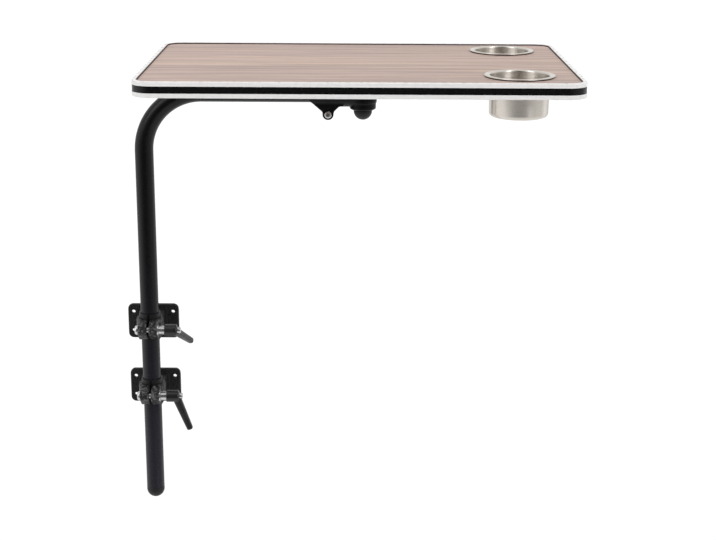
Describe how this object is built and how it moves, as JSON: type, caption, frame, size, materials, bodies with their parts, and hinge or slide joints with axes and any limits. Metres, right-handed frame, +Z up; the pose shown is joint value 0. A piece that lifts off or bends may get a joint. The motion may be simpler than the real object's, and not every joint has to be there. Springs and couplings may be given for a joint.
{
  "type": "single pole camper table",
  "caption": "Rectangular table top with a raised edge and drop-in cup holders, swivelling and tilting on a bent tube pole that slides and turns in clamping wall brackets.",
  "frame": {"origin": "centre of the lower wall bracket's back face, straight behind the pole's axis", "axes": "+X along the arm, from the pole to the table; +Y into the wall the brackets are screwed to; +Z up"},
  "size_m": [0.6495, 0.4, 0.6769],
  "materials": {
    "black_paint": "satin black powder coat, faint grain",
    "black_plastic": "matt moulded black",
    "lever_plastic": "satin dark grey, fine texture",
    "bright_steel": "bright zinc plated, turned marks",
    "stainless_cup": "brushed stainless, drawn",
    "wood_decor": "matt laminate, pale ash decor with the grain along X",
    "light_edge": "satin pale moulding",
    "black_rubber": "matt black strip"
  },
  "bodies": {
    "wall_brackets": {"upper_wall_bracket": "black_paint", "lower_wall_bracket": "black_paint", "upper_clamp_bolt": "bright_steel", "upper_nut_washer": "bright_steel", "lower_clamp_bolt": "bright_steel", "lower_nut_washer": "bright_steel"},
    "bushes": {"upper_bush": "black_plastic", "lower_bush": "black_plastic"},
    "pole": {"pole": "black_paint", "pole_foot_cap": "black_plastic", "arm_end_plug": "black_plastic"},
    "tilt_head": {"swivel_bracket": "black_paint", "table_clamp_bolt": "bright_steel", "table_nut_washer": "bright_steel"},
    "table_top": {"table_board": "wood_decor", "edge_profile": "light_edge", "edge_infill": "black_rubber", "lip_seal": "black_rubber", "front_cup_holder": "stainless_cup", "rear_cup_holder": "stainless_cup", "pivot_plate": "bright_steel", "pivot_plate_screws": "bright_steel", "pivot_friction_disc": "black_plastic", "pivot_washer": "bright_steel", "pivot_nut": "bright_steel", "pivot_cap": "black_plastic"},
    "upper_lever_nut": {"upper_lever_insert": "bright_steel", "upper_lever_spring": "bright_steel", "upper_lever_screw": "bright_steel"},
    "upper_lever": {"upper_lever_handle": "lever_plastic"},
    "lower_lever_nut": {"lower_lever_insert": "bright_steel", "lower_lever_spring": "bright_steel", "lower_lever_screw": "bright_steel"},
    "lower_lever": {"lower_lever_handle": "lever_plastic"},
    "table_lever_nut": {"table_lever_insert": "bright_steel", "table_lever_spring": "bright_steel", "table_lever_screw": "bright_steel"},
    "table_lever": {"table_lever_handle": "lever_plastic"}
  },
  "joints": [
    {"name": "pole_turn", "type": "hinge", "parent": "wall_brackets", "child": "bushes", "pos_m": [0, -0.044, 0], "axis": [0, 0, 1], "continuous": true},
    {"name": "pole_height", "type": "slide", "parent": "bushes", "child": "pole", "axis": [0, 0, 1], "range_m": [-0.24, 0.11]},
    {"name": "table_tilt", "type": "hinge", "parent": "pole", "child": "tilt_head", "pos_m": [0.267, -0.044, 0.462], "axis": [1, 0, 0], "range_deg": [-90, 90]},
    {"name": "table_swivel", "type": "hinge", "parent": "tilt_head", "child": "table_top", "pos_m": [0.317, -0.044, 0.482], "axis": [0, 0, 1], "range_deg": [-135, 135]},
    {"name": "upper_lever_turn", "type": "hinge", "parent": "wall_brackets", "child": "upper_lever_nut", "pos_m": [0, -0.072, 0.1115], "axis": [1, 0, 0], "range_deg": [0, 180]},
    {"name": "upper_lever_lift", "type": "slide", "parent": "upper_lever_nut", "child": "upper_lever", "axis": [1, 0, 0], "range_m": [0, 0.0045], "stiffness_N_per_m": 1000, "springref_m": -0.003, "deforming": ["upper_lever_spring"]},
    {"name": "lower_lever_turn", "type": "hinge", "parent": "wall_brackets", "child": "lower_lever_nut", "pos_m": [0, -0.072, 0.0075], "axis": [1, 0, 0], "range_deg": [0, 180]},
    {"name": "lower_lever_lift", "type": "slide", "parent": "lower_lever_nut", "child": "lower_lever", "axis": [1, 0, 0], "range_m": [0, 0.0045], "stiffness_N_per_m": 1000, "springref_m": -0.003, "deforming": ["lower_lever_spring"]},
    {"name": "table_lever_turn", "type": "hinge", "parent": "tilt_head", "child": "table_lever_nut", "pos_m": [0.267, -0.044, 0.433], "axis": [0, 1, 0], "range_deg": [0, 180]},
    {"name": "table_lever_lift", "type": "slide", "parent": "table_lever_nut", "child": "table_lever", "axis": [0, 1, 0], "range_m": [0, 0.0045], "stiffness_N_per_m": 1000, "springref_m": -0.003, "deforming": ["table_lever_spring"]}
  ]
}
